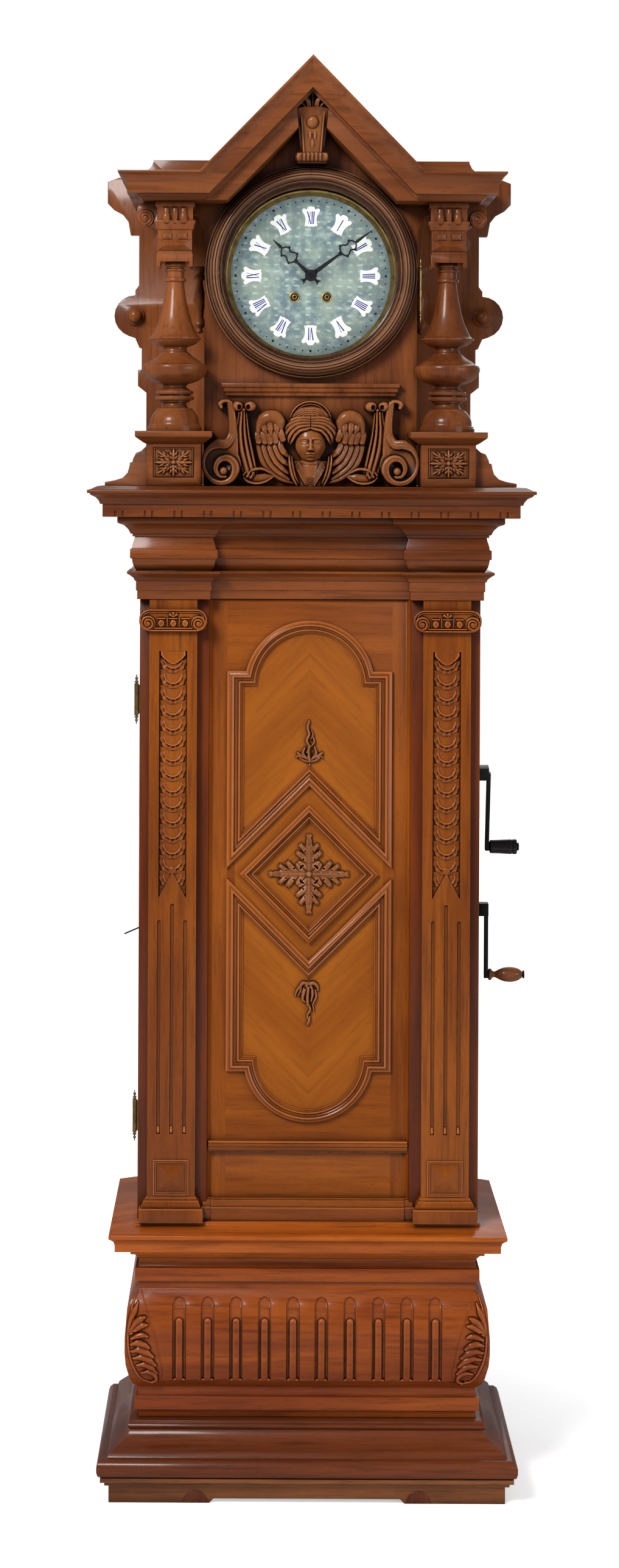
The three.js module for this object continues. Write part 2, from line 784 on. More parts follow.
// Door hinges: a turned barrel and the leaf that is screwed to the trunk's side
const hingeOut = 5; // of the barrel's middle beyond the trunk's side
const doorHinge = { radius: 3.7, x: -trunkHalfWidth - hingeOut, y: -110, leafRear: -55, leafThickness: 2.7, tip: 16 };
const hingeHeights = { upper_door_hinge: [870, 923.7], lower_door_hinge: [150.8, 207.5] };
const hingeSpans = Object.fromEntries(
  Object.entries(hingeHeights).map(([name, span]) => [name, span.map((height) => ledgeTop + height)]),
);
function hingeSolid([z0, z1]) {
  const { radius, x, y, leafRear, leafThickness, tip } = doorHinge;
  const barrel = turned(
    [
      [0, z0 - tip], [radius / 2, z0 - tip * 0.8], [radius * 0.4, z0 - tip / 2], [radius, z0],
      [radius, z1], [radius * 0.4, z1 + tip / 2], [radius / 2, z1 + tip * 0.8], [0, z1 + tip],
    ],
    12,
  );
  const leafX = -trunkHalfWidth - seat;
  return join(moved(barrel, x, y, 0), box([leafX - leafThickness, leafX], [y, leafRear], [z0, z1]));
}
for (const [name, span] of Object.entries(hingeSpans)) add(name, hingeSolid(span), brass);

// Hood: pedestals with side brackets, columns and imposts under a roof with a gable

const frontBoard = { halfWidth: 186.5, front: -30, rear: -12 };
const columnAxis = { x: 237, y: -69 };
const dieHalfWidth = 47;
const pedestalCapHalfWidth = 66;
const pedestalHeight = 94.9;
const pedestalTop = shelfTop + pedestalHeight;
const columnHeight = 293;
const columnTop = pedestalTop + seat + columnHeight;
const columnRadius = 56.6;
const pedestalShares = [[0, 0], [0, 0.766], [0.26, 0.79], [0.47, 0.82], [0.9, 0.88], [1, 0.9], [1, 1]];
const pedestalPanel = { halfWidth: 35.5, bottomShare: 0.15, topShare: 0.7, depth: 3 };
const bracketShares = [
  [0, 0], [0, 0.96], [0.14, 0.83], [0.257, 0.788], [0.33, 0.642], [0.344, 0.569], [0.403, 0.554],
  [0.417, 0.452], [0.461, 0.306], [0.578, 0.189], [0.753, 0.13], [1, 0.086], [1, 0],
];
const sideBracket = { reach: 72.6, height: 72.4, y0: -96, y1: -42 };
const columnShares = [
  [0, 0], [0.841, 0], [0.841, 0.022], [0.766, 0.051], [0.542, 0.087], [0.43, 0.116],
  [0.336, 0.13], [0.467, 0.148], [0.579, 0.17], [0.514, 0.195], [0.364, 0.22], [0.411, 0.238],
  [0.822, 0.285], [0.972, 0.314], [1, 0.341], [0.953, 0.357],
  [0.636, 0.394], [0.449, 0.419], [0.355, 0.437], [0.467, 0.455], [0.71, 0.484], [0.804, 0.507],
  [0.72, 0.538], [0.523, 0.61], [0.402, 0.682], [0.28, 0.848],
  [0.355, 0.856], [0.355, 0.866], [0.28, 0.874], [0.28, 0.906], [0.327, 0.918], [0.262, 0.931],
  [0.262, 0.953], [0.402, 0.975], [0.402, 0.986], [0.28, 1], [0, 1],
];
const columnSides = 12;

function pedestalSolid() {
  const bottom = shelfTop + seat;
  const block = moved(
    post(levelsOf(pedestalShares, dieHalfWidth, pedestalCapHalfWidth, bottom, pedestalHeight - seat)),
    columnAxis.x,
    columnAxis.y,
    0,
  );
  const face = columnAxis.y - dieHalfWidth;
  const recess = box(
    [columnAxis.x - pedestalPanel.halfWidth, columnAxis.x + pedestalPanel.halfWidth],
    [face - overrun, face + pedestalPanel.depth],
    [bottom + pedestalPanel.bottomShare * pedestalHeight, bottom + pedestalPanel.topShare * pedestalHeight],
  );
  const side = columnAxis.x + dieHalfWidth - seat;
  const bracket = slab(
    bracketShares.map(([out, up]) => [side + out * sideBracket.reach, bottom + up * sideBracket.height]),
    sideBracket.y0,
    sideBracket.y1,
  );
  const hoodCorner = box(
    [columnAxis.x - pedestalCapHalfWidth - overrun, frontBoard.halfWidth + seat],
    [frontBoard.front - seat, columnAxis.y + pedestalCapHalfWidth + overrun],
    [shelfTop, pedestalTop + overrun],
  );
  return cut(join(cut(block, recess), bracket), hoodCorner);
}

// Impost: feet round the column's neck, a fascia, a faceted block, a cyma and a reeded console
const impost = { halfWidth: 31, capHalfWidth: 36, height: 103.4, footDrop: 9, footWidth: 6 };
const impostShares = [
  [0, 0], [0, 0.12], [-0.3, 0.14], [-0.3, 0.52], [0.2, 0.54], [0.4, 0.6], [0.9, 0.66], [0.9, 0.68],
  [0, 0.69], [0, 0.9], [0.6, 0.92], [0.6, 1],
];
const facet = { bottomShare: 0.16, topShare: 0.48, rise: 10 };
const impostReeds = { count: 3, pitch: 15, radius: 6, bottomShare: 0.7, topShare: 0.89 };
const sideVolute = { radius: 15.5, reach: 51.2, y0: -16, y1: 16 };
function impostSolid() {
  const { halfWidth, capHalfWidth, height } = impost;
  const at = (share) => share * height;
  const body = post(levelsOf(impostShares, halfWidth, capHalfWidth, 0, height));
  const inset = halfWidth - impost.footWidth;
  const feet = [-1, 1].flatMap((a) =>
    [-1, 1].map((b) =>
      box(
        a > 0 ? [inset, halfWidth] : [-halfWidth, -inset],
        b > 0 ? [inset, halfWidth] : [-halfWidth, -inset],
        [-impost.footDrop, seat],
      ),
    ),
  );
  const waist = halfWidth - 0.3 * (capHalfWidth - halfWidth) - seat;
  const diamondPoint = skin([
    [
      [-waist, -waist, at(facet.bottomShare)], [waist, -waist, at(facet.bottomShare)],
      [waist, -waist, at(facet.topShare)], [-waist, -waist, at(facet.topShare)],
    ],
    [
      [-waist / 2, -waist - facet.rise, at((facet.bottomShare + facet.topShare) / 2)],
      [waist / 2, -waist - facet.rise, at((facet.bottomShare + facet.topShare) / 2)],
      [waist / 2, -waist - facet.rise, at((facet.bottomShare + facet.topShare) / 2)],
      [-waist / 2, -waist - facet.rise, at((facet.bottomShare + facet.topShare) / 2)],
    ],
  ]);
  const reeds = Array.from({ length: impostReeds.count }, (_, i) =>
    moved(
      turned(rod(impostReeds.radius, at(impostReeds.bottomShare), at(impostReeds.topShare)), 12),
      (i - (impostReeds.count - 1) / 2) * impostReeds.pitch,
      -halfWidth,
      0,
    ),
  );
  const voluteZ = height - sideVolute.radius - 2 * seat;
  const volute = join(
    moved(turnedDeep(rod(sideVolute.radius, sideVolute.y0, sideVolute.y1), 16), sideVolute.reach, 0, voluteZ),
    slab(
      [
        [halfWidth - seat, voluteZ - sideVolute.radius * 2], [sideVolute.reach, voluteZ - sideVolute.radius],
        [sideVolute.reach, voluteZ + sideVolute.radius], [halfWidth - seat, voluteZ + sideVolute.radius],
      ],
      sideVolute.y0,
      sideVolute.y1,
    ),
  );
  return join(body, ...feet, diamondPoint, diamondPoint.rotate([0, 0, 90]), ...reeds, volute);
}
const pedestalRight = pedestalSolid();
const impostRight = impostSolid();
for (const [side, sign] of [["left", -1], ["right", 1]]) {
  const facing = (solid) => (sign < 0 ? mirrored(solid) : solid);
  add(`${side}_pedestal`, facing(pedestalRight), darkWalnut);
  const column = add(
    `${side}_column`,
    turned(
      columnShares.map(([radius, up]) => [radius * columnRadius, up * columnHeight]),
      columnSides,
    ),
    darkWalnut,
  );
  column.position.set(sign * columnAxis.x, columnAxis.y, pedestalTop + seat);
  const block = add(`${side}_impost`, facing(impostRight), darkWalnut);
  block.position.set(sign * columnAxis.x, columnAxis.y, columnTop + seat);
}

// Gable: the cornice returns over the columns and rises to a point over the dial
const corniceRise = 539.7;
const gableRise = 198.3;
const corniceTop = shelfTop + corniceRise;
const cornice = { halfWidth: 333, top: corniceTop, apex: corniceTop + gableRise, slope: 45.8, fall: 47.1 };
const corniceShares = [
  [0, 0], [0, 0.07], [-0.1, 0.13], [-0.22, 0.25], [-0.32, 0.38], [-0.37, 0.44], [-0.37, 0.79],
  [-0.78, 0.79], [-0.8, 0.87], [-0.9, 0.93], [-1, 1],
];
const corniceReach = 41;
const slopeAngle = THREE.MathUtils.degToRad(cornice.slope);
const rakeHeight = (x, fall) => cornice.apex - Math.tan(slopeAngle) * x - fall / Math.cos(slopeAngle);
const rakeHalfWidth = (z, fall) => (cornice.apex - z - fall / Math.cos(slopeAngle)) / Math.tan(slopeAngle);
const gableRear = frontBoard.front - seat;
const corniceBottom = cornice.top - cornice.fall;

const gableRings = corniceShares.map(([out, down]) => {
  const w = cornice.halfWidth + out * corniceReach;
  const fall = down * cornice.fall;
  const z = cornice.top - fall;
  const corner = rakeHalfWidth(z, fall);
  const line = [[-w, z], [-corner, z], [0, rakeHeight(0, fall)], [corner, z], [w, z]];
  const along = (y) => line.map(([x, height]) => [x, y, height]);
  return [...along(frontOf(w)), ...along(gableRear).reverse()];
});
const rakeBed = { from: 40, to: 66, front: -128 };
const bedOutline = [
  [-rakeHalfWidth(corniceBottom, rakeBed.from), corniceBottom],
  [-rakeHalfWidth(corniceBottom, rakeBed.to), corniceBottom],
  [0, rakeHeight(0, rakeBed.to)],
  [rakeHalfWidth(corniceBottom, rakeBed.to), corniceBottom],
  [rakeHalfWidth(corniceBottom, rakeBed.from), corniceBottom],
  [0, rakeHeight(0, rakeBed.from)],
];

// Keystone: a console in front view and in side view
const keystone = measuredFrom(shelfTop, ["bottom"], { halfWidth: 27, bottom: 562.3, height: 117, front: -130, footFront: -75 });
const keystoneShares = [
  [-0.94, 0], [0.94, 0], [0.94, 0.14], [0.76, 0.15], [1, 0.76], [0, 1], [-1, 0.76], [-0.76, 0.15],
  [-0.94, 0.14],
];
const keystoneSideShares = [
  [0, 0], [0, 0.14], [0.14, 0.15], [0.36, 0.4], [0.78, 0.7], [1, 0.86], [1, 1],
];
const keystoneFront = (grow) =>
  keystoneShares.map(([across, up]) => [
    across * (keystone.halfWidth + grow),
    keystone.bottom - grow + up * (keystone.height + 2 * grow),
  ]);

// A side profile of [y, z] points made solid between x0 and x1.
function fin(profile, x0, x1) {
  const shape = new THREE.Shape(profile.map(([y, z]) => new THREE.Vector2(y, z)));
  const geometry = new THREE.ExtrudeGeometry(shape, { depth: x1 - x0, bevelEnabled: false });
  const [x, y, z] = [new THREE.Vector3(1, 0, 0), new THREE.Vector3(0, 1, 0), new THREE.Vector3(0, 0, 1)];
  geometry.applyMatrix4(new THREE.Matrix4().makeBasis(y, z, x));
  geometry.translate(x0, 0, 0);
  return toSolid(geometry);
}
add(
  "gable_moulding",
  cut(
    join(skin(gableRings), slab(bedOutline, rakeBed.front, gableRear)),
    slab(keystoneFront(seat), keystone.front - seat, gableRear + overrun),
  ),
  darkWalnut,
);
add(
  "keystone",
  slab(keystoneFront(0), keystone.front, gableRear).intersect(
    fin(
      [
        [gableRear, keystone.bottom],
        ...keystoneSideShares.map(([out, up]) => [
          keystone.footFront + out * (keystone.front - keystone.footFront),
          keystone.bottom + up * keystone.height,
        ]),
        [gableRear, keystone.bottom + keystone.height],
      ],
      -keystone.halfWidth - overrun,
      keystone.halfWidth + overrun,
    ),
  ),
  carvedWalnut,
);

// Hood front board with the round hole, scalloped under the cornice
const bezel = measuredFrom(shelfTop, ["z"], { z: 374.7, outer: 186, inner: 150, front: -70, rear: -31 });
const tympanumFall = 25;
const scallopRise = 449.3;
const scallop = { halfWidth: 210, z: shelfTop + scallopRise, top: corniceBottom - seat };
const boardOutline = (grow) => {
  const half = frontBoard.halfWidth + grow;
  const wing = scallop.halfWidth + grow;
  const step = scallop.halfWidth - frontBoard.halfWidth;
  const right = [
    [half, shelfTop + seat - grow], [half, scallop.z], [half + step / 3, scallop.z + step / 2],
    [half + step / 2, scallop.z + step], [wing, scallop.z + step * 1.2], [wing, scallop.top],
    [rakeHalfWidth(scallop.top, tympanumFall) + grow, scallop.top + grow],
  ];
  const left = right.map(([x, z]) => [-x, z]).reverse();
  return [...right, [0, rakeHeight(0, tympanumFall) + grow], ...left];
};
const hoodShelf = measuredFrom(shelfTop, ["bottom"], { bottom: 158.3, height: 21.7, halfWidth: 156, reach: 16 });
const hoodShelfShares = [[0.55, 0], [0.55, 0.2], [0.8, 0.35], [0.8, 0.6], [1, 0.7], [1, 1]];
const roundHole = moved(
  turnedDeep(rod(bezel.inner, frontBoard.front - overrun, frontBoard.rear + overrun), roundSides),
  0,
  0,
  bezel.z,
);
add(
  "hood_front_board",
  join(
    cut(slab(boardOutline(0), frontBoard.front, frontBoard.rear), roundHole),
    skin(
      hoodShelfShares.map(([out, up]) => {
        const w = hoodShelf.halfWidth - (1 - out) * hoodShelf.reach;
        const y = frontBoard.front - out * hoodShelf.reach;
        const z = hoodShelf.bottom + up * hoodShelf.height;
        return [[-w, y, z], [w, y, z], [w, frontBoard.rear, z], [-w, frontBoard.rear, z]];
      }),
    ),
  ),
  darkWalnut,
);

// Hood roof: the cornice carried back to the wall, with a flat block on top
const roofBlockShares = [[1, 0], [0.74, 0.25], [0.2, 0.6], [0, 0.9], [0, 1]];
const roofBlock = { halfWidth: 277, reach: 22, height: 31, hollowHalfWidth: 160, hollowDepth: 45 };
const hoodRear = backFace - board - seat;
const roofLevels = [
  ...corniceShares
    .map(([out, down]) => [cornice.halfWidth + out * corniceReach, cornice.top - down * cornice.fall])
    .reverse(),
  ...levelsOf(roofBlockShares, roofBlock.halfWidth, roofBlock.halfWidth + roofBlock.reach, cornice.top, roofBlock.height),
];
add(
  "hood_roof",
  cut(
    skin(
      roofLevels.map(([w, z]) => [
        [-w, frontBoard.front, z], [w, frontBoard.front, z], [w, hoodRear, z], [-w, hoodRear, z],
      ]),
    ),
    slab(boardOutline(seat), frontBoard.front - overrun, frontBoard.rear + seat),
    box(
      [-roofBlock.hollowHalfWidth, roofBlock.hollowHalfWidth],
      [frontBoard.rear - overrun, hoodRear - board],
      [corniceBottom - overrun, corniceBottom + roofBlock.hollowDepth],
    ),
  ),
  darkWalnut,
);

// Hood sides, each with a turned baluster outside and a cleat inside for the seatboard
const hoodSide = { outer: 185, thickness: 18 };
const hoodSideFront = frontBoard.rear + seat;
const balusterShares = [
  [0, 0], [0.5, 0.03], [0.35, 0.08], [1, 0.14], [0.9, 0.18], [0.5, 0.24], [0.6, 0.36], [0.95, 0.5],
  [0.6, 0.66], [0.4, 0.78], [0.9, 0.84], [0.5, 0.9], [1, 0.97], [1, 1], [0, 1],
];
const baluster = measuredFrom(shelfTop, ["z0"], { x: 197, y: 60, radius: 12.6, z0: 270.3, height: 120 });
const seatboard = measuredFrom(shelfTop, ["z0", "z1"], { z0: 280.3, z1: 302, front: 8, rear: 185, slotHalfWidth: 20 });
const cleat = { width: 12, height: 15 };
const sideInner = hoodSide.outer - hoodSide.thickness;
const hoodSideRight = join(
  box([sideInner, hoodSide.outer], [hoodSideFront, hoodRear], [shelfTop + seat, corniceBottom - seat]),
  moved(
    turned(balusterShares.map(([r, up]) => [r * baluster.radius, baluster.z0 + up * baluster.height]), fewSides),
    baluster.x,
    baluster.y,
    0,
  ),
  box(
    [sideInner - cleat.width, sideInner + seat],
    [seatboard.front, seatboard.rear],
    [seatboard.z0 - seat - cleat.height, seatboard.z0 - seat],
  ),
);
add("hood_left_side", mirrored(hoodSideRight), darkWalnut);
add("hood_right_side", hoodSideRight, darkWalnut);

// Backboard: its outline has shoulders, round ears with turned bosses, and stepped feet
const ear = measuredFrom(shelfTop, ["z"], { x: 318, z: 308.9, radius: 38, bossRadius: 17, bossRise: 26 });
const backboardRise = 562.1;
const backboardTop = shelfTop + backboardRise;
const backboardHalfWidth = 369.5;
const upperEdgeShares = [
  [0.946, 1], [1, 0.986], [1, 0.917], [0.97, 0.897], [0.925, 0.881], [0.897, 0.857], [0.885, 0.813],
  [0.843, 0.813], [0.843, 0.649], [0.861, 0.633], [0.861, 0.617],
];
const lowerEdgeShares = [
  [0.861, 0.478], [0.84, 0.446], [0.828, 0.444], [0.828, 0.374], [0.846, 0.374], [0.846, 0.321],
  [0.804, 0.299], [0.804, 0],
];
const backboardHeight = backboardTop - shelfTop - seat;
const edgePoints = (shares) =>
  shares.map(([out, up]) => [out * backboardHalfWidth, shelfTop + seat + up * backboardHeight]);
const earArc = arcPoints(ear.x, ear.z, ear.radius, Math.PI / 2, -Math.PI / 2).map(([x, z]) => [
  Math.min(x + seat, backboardHalfWidth),
  z,
]);
const rightEdge = [...edgePoints(upperEdgeShares), ...earArc.slice(1, -1), ...edgePoints(lowerEdgeShares)];
const bosses = [-1, 1].map((sign) =>
  moved(
    turnedDeep(
      [
        [0, seat], [ear.bossRadius, seat], [ear.bossRadius, -ear.bossRise * 0.2],
        [ear.bossRadius * 0.6, -ear.bossRise * 0.35], [ear.bossRadius * 0.65, -ear.bossRise * 0.7],
        [0, -ear.bossRise],
      ],
      fewSides,
    ),
    sign * ear.x,
    backFace - board,
    ear.z,
  ),
);
add(
  "hood_backboard",
  join(
    slab([...rightEdge, ...rightEdge.map(([x, z]) => [-x, z]).reverse()], backFace - board, backFace),
    ...bosses,
  ),
  redWalnut,
);

// Winged head between two scroll brackets, carved for the foot of the hood
const carvingBottom = shelfTop + seat;
const ball = (rx, ry, rz, x, y, z) => {
  const geometry = new THREE.SphereGeometry(1, fewSides, fewSides - 2);
  geometry.scale(rx, ry, rz);
  geometry.translate(x, y, z);
  return toSolid(geometry);
};
const cherub = { wingReach: 97.7, wingHeight: 133, wingFront: -62, haloRadius: 38, haloRise: 112, bustHalfWidth: 40 };
const head = { halfWidth: 30, halfDepth: 24, halfHeight: 42, rise: 80, y: -50 };
const hair = { halfWidth: 44, halfDepth: 20, halfHeight: 31, rise: 106, y: -46 };
const bustHeight = 46;
const bustFront = -58;
const wingShares = [
  [0.71, 1], [0.56, 0.95], [0.4, 0.86], [0.4, 0.5], [0.3, 0.3], [0.1, 0], [0.28, 0], [0.76, 0.26],
  [0.97, 0.54], [1, 0.78], [0.9, 0.94],
];
const wing = slab(
  wingShares.map(([out, up]) => [out * cherub.wingReach, carvingBottom + up * cherub.wingHeight]),
  cherub.wingFront,
  gableRear,
);
const carvingLimit = box(
  [-cherub.wingReach, cherub.wingReach],
  [head.y - head.halfDepth - overrun, gableRear],
  [carvingBottom, hoodShelf.bottom - seat],
);
add(
  "winged_head",
  join(
    wing,
    mirrored(wing),
    ball(head.halfWidth, head.halfDepth, head.halfHeight, 0, head.y, carvingBottom + head.rise),
    ball(hair.halfWidth, hair.halfDepth, hair.halfHeight, 0, hair.y, carvingBottom + hair.rise),
    moved(turnedDeep(rod(cherub.haloRadius, hair.y, gableRear), mostSides), 0, 0, carvingBottom + cherub.haloRise),
    slab(
      [
        [-cherub.bustHalfWidth, carvingBottom], [cherub.bustHalfWidth, carvingBottom],
        [head.halfWidth * 0.7, carvingBottom + bustHeight], [-head.halfWidth * 0.7, carvingBottom + bustHeight],
      ],
      bustFront,
      gableRear,
    ),
  ).intersect(carvingLimit),
  carvedWalnut,
);

const volute = { x: 153.7, radius: 36, front: -75, eyeRadius: 13, groove: 8 };
const upright = { inner: 126, outer: 146, height: 148, front: -60, curlX: 154, curlRadius: 9.5 };
const drape = { front: -66, height: 127, bowRadius: 11, bowRise: 134, bowX: 124 };
const drapeShares = [[126, 1], [112, 1], [102, 0.55], [90, 0.26], [68, 0.12], [66, 0], [112, 0], [119, 0.25], [127, 0.5]];
const voluteZ = carvingBottom + volute.radius;
const grooved = cut(
  moved(turnedDeep(rod(volute.radius, volute.front, gableRear), mostSides), volute.x, 0, voluteZ),
  cut(
    moved(
      turnedDeep(rod(volute.radius - volute.groove, volute.front - overrun, volute.front + volute.groove), mostSides),
      volute.x,
      0,
      voluteZ,
    ),
    moved(
      turnedDeep(rod(volute.eyeRadius, volute.front - 2 * overrun, volute.front + 2 * volute.groove), fewSides),
      volute.x,
      0,
      voluteZ,
    ),
  ),
);
const scrollBracket = join(
  grooved,
  box([upright.inner, upright.outer], [upright.front, gableRear], [carvingBottom, carvingBottom + upright.height]),
  moved(
    turnedDeep(rod(upright.curlRadius, upright.front, gableRear), 12),
    upright.curlX,
    0,
    carvingBottom + upright.height - upright.curlRadius,
  ),
  slab(
    drapeShares.map(([x, up]) => [x, carvingBottom + up * drape.height]),
    drape.front,
    gableRear,
  ),
  moved(turnedDeep(rod(drape.bowRadius, drape.front, gableRear), 12), drape.bowX, 0, carvingBottom + drape.bowRise),
);
add("left_scroll_bracket", mirrored(scrollBracket), carvedWalnut);
add("right_scroll_bracket", scrollBracket, carvedWalnut);

// Round door over the dial: a moulded ring with its glass, hinged at the right

const roundDoor = new THREE.Group();
clock.add(roundDoor);
const glass = { radius: 152, front: -44.7, thickness: 3 };
const ringShares = [
  [0, 0.3], [0.05, 0.1], [0.2, 0], [0.45, 0], [0.55, 0.1], [0.72, 0.18], [0.85, 0.36], [1, 0.5], [1, 1],
  [0.064, 1], [0.064, 0.64], [0, 0.64], [0, 0.3],
];
const bezelRing = turnedDeep(
  ringShares.map(([out, back]) => [
    bezel.inner + out * (bezel.outer - bezel.inner),
    bezel.front + back * (bezel.rear - bezel.front),
  ]),
  roundSides,
);
add("bezel_ring", bezelRing, darkWalnut, roundDoor).position.z = bezel.z;
add(
  "bezel_glass",
  turnedDeep(rod(glass.radius, glass.front, glass.front + glass.thickness), roundSides),
  clearGlass,
  roundDoor,
).position.z = bezel.z;
const bezelHinge = measuredFrom(shelfTop, ["z0", "z1"], { x: 190.6, y: -62, radius: 3.4, z0: 285.3, z1: 397.3, leafThickness: 1.6, leafRear: -14, tip: 6 });
add(
  "bezel_hinge",
  join(
    moved(
      turned(
        [
          [0, bezelHinge.z0 - bezelHinge.tip], [bezelHinge.radius / 2, bezelHinge.z0 - bezelHinge.tip / 2],
          [bezelHinge.radius, bezelHinge.z0], [bezelHinge.radius, bezelHinge.z1],
          [bezelHinge.radius / 2, bezelHinge.z1 + bezelHinge.tip / 2], [0, bezelHinge.z1 + bezelHinge.tip],
        ],
        12,
      ),
      bezelHinge.x,
      bezelHinge.y,
      0,
    ),
    box(
      [frontBoard.halfWidth + seat, frontBoard.halfWidth + seat + bezelHinge.leafThickness],
      [bezelHinge.y, bezelHinge.leafRear],
      [bezelHinge.z0, bezelHinge.z1],
    ),
  ),
  brass,
);

// Dial: a plate with a raised brass rim, twelve plaques and two winding holes

const dial = measuredFrom(shelfTop, ["z"], { z: 370.9, radius: 152, rimInner: 143, rimFront: -11.5, plate: 2.5, plaqueRing: 104.5 });
const dialHole = 5.6;
const winding = { x: 28.5, below: 37.4, hole: 9.7, arbor: 4, front: -6 };
const plaque = { halfWidth: 15.5, halfHeight: 18, front: -2 };
const plaqueShares = [
  [-0.6, -1], [0.6, -1], [0.65, -0.3], [1, 0.35], [0.8, 0.8], [0, 1], [-0.8, 0.8], [-1, 0.35], [-0.65, -0.3],
];
const plates = measuredFrom(shelfTop, ["top"], { halfWidth: 75, top: 463.3, front: 14, thickness: 3, gap: 67 });
const plateBottom = seatboard.z1 + seat;
const frontPlateRear = plates.front + plates.thickness;
const backPlateFront = frontPlateRear + plates.gap;
const backPlateRear = backPlateFront + plates.thickness;
const plaques = Array.from({ length: 12 }, (_, hour) => {
  const outline = slab(
    plaqueShares.map(([across, up]) => [across * plaque.halfWidth, dial.plaqueRing + up * plaque.halfHeight]),
    plaque.front,
    seat,
  );
  return outline.rotate([0, hour * 30, 0]);
});
const dialFeet = [[-1, 0.75], [1, 0.75], [0, -0.8]].map(([across, up]) =>
  moved(
    turnedDeep(rod(3, dial.plate - seat, plates.front - seat), 8),
    across * plates.halfWidth * 0.8,
    0,
    up * plates.halfWidth * 0.8,
  ),
);
const bore = (radius, y0, y1, x = 0, z = 0, sides = fewSides) =>
  moved(turnedDeep(rod(radius, y0, y1), sides), x, 0, z);
add(
  "dial_plate",
  cut(
    join(
      turnedDeep(
        [
          [0, dial.plate], [dial.radius, dial.plate], [dial.radius, dial.rimFront],
          [dial.rimInner, dial.rimFront], [dial.rimInner, 0], [0, 0],
        ],
        roundSides,
      ),
      ...plaques,
      ...dialFeet,
    ),
    bore(dialHole, -overrun, overrun),
    bore(winding.hole, -overrun, overrun, winding.x, -winding.below),
    bore(winding.hole, -overrun, overrun, -winding.x, -winding.below),
  ),
  dialTin,
).position.z = dial.z;

// Hands, at the time that the clock shows
const arbor = { radius: 2.5, clearance: 0.3, front: -24 };
const minuteHand = { length: 134, front: -20.5, thickness: 1.6, hub: 9, angle: 53.5 };
const hourHand = { length: 92, front: -15.5, thickness: 1.6, hub: 11, angle: -47 };
const handShares = [
  [-0.16, 0.045], [-0.07, 0.02], [0.1, 0.045], [0.45, 0.02], [0.56, 0.075], [0.64, 0.1], [0.72, 0.075],
  [0.8, 0.02], [1, 0.004],
];
const handEyeShares = [[0.58, 0.02], [0.64, 0.06], [0.71, 0.02]];
function handSolid(hand) {
  const half = (shares, sign) => shares.map(([along, across]) => [sign * across * hand.length, along * hand.length]);
  const around = (shares) => [...half(shares, 1), ...half(shares, -1).reverse()];
  const rear = hand.front + hand.thickness;
  return join(
    slab(around(handShares), hand.front, rear, [around(handEyeShares).reverse()]),
    turnedDeep(rod(hand.hub, hand.front, rear), 16),
  );
}
function addHand(name, hand, solid) {
  const mesh = add(name, solid, iron);
  mesh.rotation.y = THREE.MathUtils.degToRad(hand.angle);
  mesh.position.z = dial.z;
}
addHand(
  "minute_hand",
  minuteHand,
  join(handSolid(minuteHand), turnedDeep(rod(arbor.radius, arbor.front, backPlateRear - seat), 12)),
);
const pipeOuter = dialHole - arbor.clearance;
const pipeInner = arbor.radius + arbor.clearance;
addHand(
  "hour_hand",
  hourHand,
  cut(
    join(handSolid(hourHand), turnedDeep(rod(pipeOuter, hourHand.front, plates.front - seat), 16)),
    turnedDeep(rod(pipeInner, hourHand.front - overrun, plates.front + overrun), 16),
  ),
);

// Movement on its seatboard, behind the dial

add(
  "seatboard",
  cut(
    box([-sideInner + seat, sideInner - seat], [seatboard.front, seatboard.rear], [seatboard.z0, seatboard.z1]),
    box(
      [-seatboard.slotHalfWidth, seatboard.slotHalfWidth],
      [backPlateRear + board, backPlateRear + 3 * board],
      [seatboard.z0 - overrun, seatboard.z1 + overrun],
    ),
  ),
  pine,
);
const wheelFront = 70;
const hammerX = 52;
const hammerDrop = 45;
const hammerY = 60;
const hammerHeadX = 34.6;
const hammerLift = 11;
const hammerHeadZ = plates.top + hammerLift;
const train = {
  barrel: { z: dial.z - winding.below, radius: 25, front: 24, rear: 58 },
  escape: measuredFrom(shelfTop, ["z"], { z: 408.3, radius: 20, teeth: 15, front: wheelFront, thickness: 2 }),
  anchor: measuredFrom(shelfTop, ["z"], { z: 438.3, reach: 18.5, drop: 17, front: wheelFront, thickness: 2 }),
  hammer: { x: hammerX, z: plates.top - hammerDrop, headX: hammerHeadX, headZ: hammerHeadZ, y: hammerY, headRadius: 4 },
};
const pivotRadius = 2;
const pivots = [
  [0, dial.z, arbor.radius], [-winding.x, train.barrel.z, winding.arbor], [winding.x, train.barrel.z, winding.arbor],
  [0, train.escape.z, pivotRadius], [0, train.anchor.z, pivotRadius], [train.hammer.x, train.hammer.z, pivotRadius],
];
const pivotHoles = (y) =>
  pivots.map(([x, z, radius]) => bore(radius + arbor.clearance, y - overrun, y + overrun, x, z));
const plateAt = (y) =>
  box([-plates.halfWidth, plates.halfWidth], [y, y + plates.thickness], [plateBottom, plates.top]);
const pillar = { radius: 5, inset: 12 };
const pillarRods = [-1, 1].flatMap((side) =>
  [plateBottom + pillar.inset, plates.top - pillar.inset].map((z) =>
    bore(pillar.radius, frontPlateRear + seat, backPlateFront + seat, side * (plates.halfWidth - pillar.inset), z),
  ),
);
const cockDrop = 8;
const cockZ = plates.top - cockDrop;
const cockDepth = 27;
const cockPinLength = 35;
const cock = { halfWidth: 12, z: cockZ, height: 16, depth: cockDepth, pinRadius: 2.5, pinLength: cockPinLength };
const cockRear = backPlateRear + cock.depth;
add("movement_front_plate", cut(plateAt(plates.front), ...pivotHoles(plates.front)), brass);
